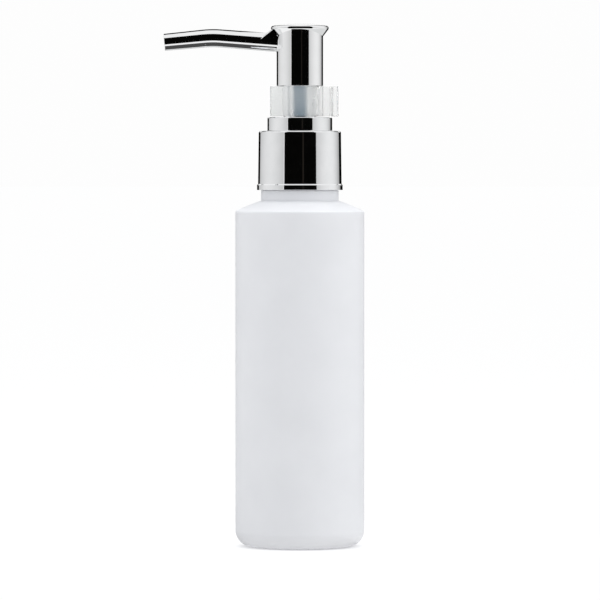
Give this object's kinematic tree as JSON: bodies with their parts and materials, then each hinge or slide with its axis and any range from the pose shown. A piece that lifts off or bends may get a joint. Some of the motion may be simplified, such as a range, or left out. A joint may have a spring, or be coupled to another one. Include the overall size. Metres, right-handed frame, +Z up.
{
  "type": "pump bottle",
  "caption": "Round white plastic bottle with a chrome screw closure, a press-down lotion pump with a long bent nozzle, and a pull-off lock clip.",
  "frame": {"origin": "centre of the base, on the surface that the bottle stands on", "axes": "+Z up along the bottle's axis; the nozzle points to -X; the picture is taken from -Y"},
  "size_m": [0.0682, 0.0438, 0.1777],
  "materials": {
    "bottle_plastic": "matte",
    "closure_metal": "polished",
    "head_chrome": "polished",
    "clip_plastic": "satin",
    "pump_plastic": "satin",
    "seal_plastic": "satin",
    "tube_plastic": "satin",
    "gasket_foam": "matte",
    "steel": "polished"
  },
  "bodies": {
    "bottle": {"bottle": "bottle_plastic"},
    "gasket": {"gasket": "gasket_foam"},
    "pump_body": {"pump_housing": "pump_plastic", "chaplet": "pump_plastic", "ball_retainer": "pump_plastic", "return_spring": "steel", "dip_tube": "tube_plastic"},
    "closure": {"closure_shell": "closure_metal", "closure_insert": "pump_plastic"},
    "inlet_ball": {"inlet_ball": "steel"},
    "plug": {"piston_plug": "pump_plastic"},
    "head": {"head": "head_chrome", "head_core": "head_chrome", "stem": "pump_plastic"},
    "piston": {"piston": "seal_plastic"},
    "lock_clip": {"lock_clip": "clip_plastic"}
  },
  "joints": [
    {"name": "pump_lift", "type": "slide", "parent": "bottle", "child": "gasket", "axis": [0, 0, 1], "range_m": [0, 0.15]},
    {"name": "thread_rise", "type": "slide", "parent": "gasket", "child": "pump_body", "axis": [0, 0, 1], "range_m": [0, 0.00477]},
    {"name": "closure_turn", "type": "hinge", "parent": "pump_body", "child": "closure", "pos_m": [0, 0, 0], "axis": [0, 0, 1], "range_deg": [0, 540]},
    {"name": "inlet_ball_lift", "type": "slide", "parent": "pump_body", "child": "inlet_ball", "axis": [0, 0, 1], "range_m": [0, 0.0012]},
    {"name": "head_press", "type": "slide", "parent": "pump_body", "child": "plug", "axis": [0, 0, 1], "range_m": [-0.0104, 0], "stiffness_N_per_m": 400, "springref_m": 0.012, "deforming": ["return_spring"]},
    {"name": "head_swivel", "type": "hinge", "parent": "plug", "child": "head", "pos_m": [0, 0, 0], "axis": [0, 0, 1], "continuous": true},
    {"name": "piston_slip", "type": "slide", "parent": "head", "child": "piston", "axis": [0, 0, 1], "range_m": [0, 0.0008]},
    {"name": "clip_pull", "type": "slide", "parent": "pump_body", "child": "lock_clip", "axis": [1, 0, 0], "range_m": [0, 0.045], "deforming": ["lock_clip"]}
  ],
  "couplings": [
    {"joint": "thread_rise", "follows": "closure_turn", "m_per_rad": 0.00050532}
  ]
}
